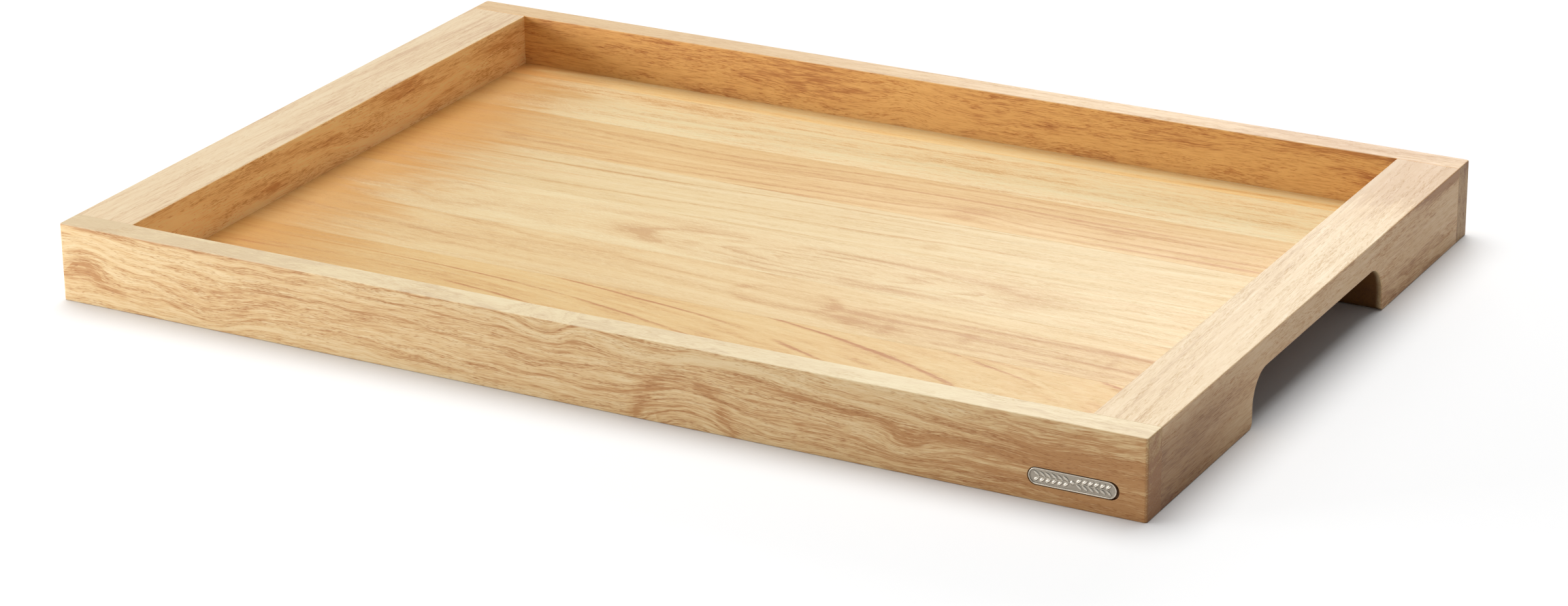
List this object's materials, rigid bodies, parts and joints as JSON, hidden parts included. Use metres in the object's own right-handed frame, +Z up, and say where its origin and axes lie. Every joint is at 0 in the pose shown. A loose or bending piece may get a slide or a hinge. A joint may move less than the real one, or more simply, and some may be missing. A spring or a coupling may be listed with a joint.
{
  "type": "serving tray",
  "caption": "Low rectangular wooden serving tray: raised frame with wide end rails and a recessed finger grip in each, a staved floor, and a small round-ended badge on the front.",
  "frame": {"origin": "on the surface the tray stands on, under the middle of the tray", "axes": "+X along the tray's length from its left end to its right end, +Y from the front rail with the badge to the back rail, +Z up"},
  "size_m": [0.55, 0.375, 0.038],
  "materials": {
    "rail_wood": "satin",
    "floor_wood": "satin",
    "dowel_wood": "matte",
    "badge_metal": "satin",
    "adhesive": "matte"
  },
  "bodies": {
    "root": {"front_rail": "rail_wood", "back_rail": "rail_wood", "left_end_rail": "rail_wood", "right_end_rail": "rail_wood", "floor_stave_1": "floor_wood", "floor_stave_2": "floor_wood", "floor_stave_3": "floor_wood", "floor_stave_4": "floor_wood", "floor_stave_5": "floor_wood", "floor_stave_6": "floor_wood", "floor_stave_7": "floor_wood", "floor_stave_8": "floor_wood", "dowel_front_left_outer": "dowel_wood", "dowel_front_left_inner": "dowel_wood", "dowel_front_right_inner": "dowel_wood", "dowel_front_right_outer": "dowel_wood", "dowel_back_left_outer": "dowel_wood", "dowel_back_left_inner": "dowel_wood", "dowel_back_right_inner": "dowel_wood", "dowel_back_right_outer": "dowel_wood", "badge_adhesive": "adhesive", "badge_plate": "badge_metal"}
  },
  "joints": []
}
